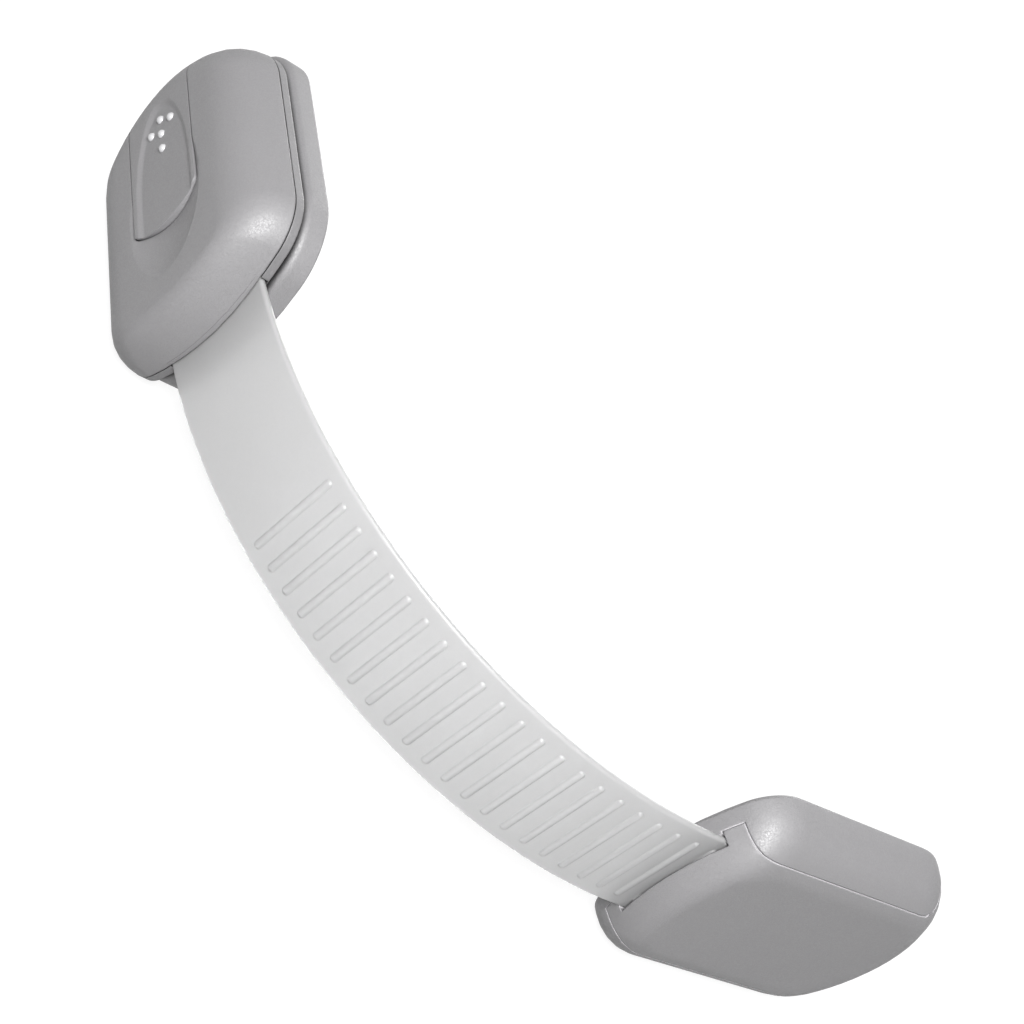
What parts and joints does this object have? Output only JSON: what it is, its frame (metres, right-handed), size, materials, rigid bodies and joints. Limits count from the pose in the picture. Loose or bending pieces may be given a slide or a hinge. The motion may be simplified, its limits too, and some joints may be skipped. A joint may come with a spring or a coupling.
{
  "type": "cabinet safety lock",
  "caption": "Adhesive child safety lock for a cabinet corner: ribbed flexible strap between a quick-release latch with a thumb slide and a length adjuster with a hinged lid.",
  "frame": {"origin": "under the middle of the bounding box, on the plane of the housings' lower long edges", "axes": "+Z across the strap's width, +X the way the adjuster runs from the bend, +Y the way the latch runs"},
  "size_m": [0.1422, 0.1328, 0.0415],
  "materials": {
    "housing_plastic": "satin grey with a fine metallic speckle",
    "strap_tpu": "smooth translucent light grey",
    "steel": "bright wire",
    "foam": "closed-cell foam tape"
  },
  "bodies": {
    "adjuster": {"adjuster_base": "housing_plastic", "lid_hinge_pin": "steel", "adjuster_pad": "foam"},
    "lid": {"adjuster_lid": "housing_plastic"},
    "strap_and_latch": {"strap": "strap_tpu", "latch_cover": "housing_plastic", "latch_back_shell": "housing_plastic", "latch_screws": "steel", "catch_clip": "steel", "slide_spring": "steel"},
    "slide": {"release_slide": "housing_plastic"},
    "plate": {"latch_plate": "housing_plastic", "latch_pad": "foam"}
  },
  "joints": [
    {"name": "lid_hinge", "type": "hinge", "parent": "adjuster", "child": "lid", "pos_m": [0.0659, -0.06062, 0.02075], "axis": [0, 0, 1], "range_deg": [0, 90]},
    {"name": "strap_slide", "type": "slide", "parent": "adjuster", "child": "strap_and_latch", "axis": [-1, 0, 0], "range_m": [0, 0.0198], "deforming": ["strap"]},
    {"name": "slide_release", "type": "slide", "parent": "strap_and_latch", "child": "slide", "axis": [0, 1, 0], "range_m": [0, 0.004], "stiffness_N_per_m": 400, "springref_m": -0.003, "deforming": ["slide_spring", "catch_clip"]},
    {"name": "plate_lift", "type": "slide", "parent": "strap_and_latch", "child": "plate", "axis": [1, 0, 0], "range_m": [0, 0.012], "deforming": ["catch_clip"]}
  ]
}
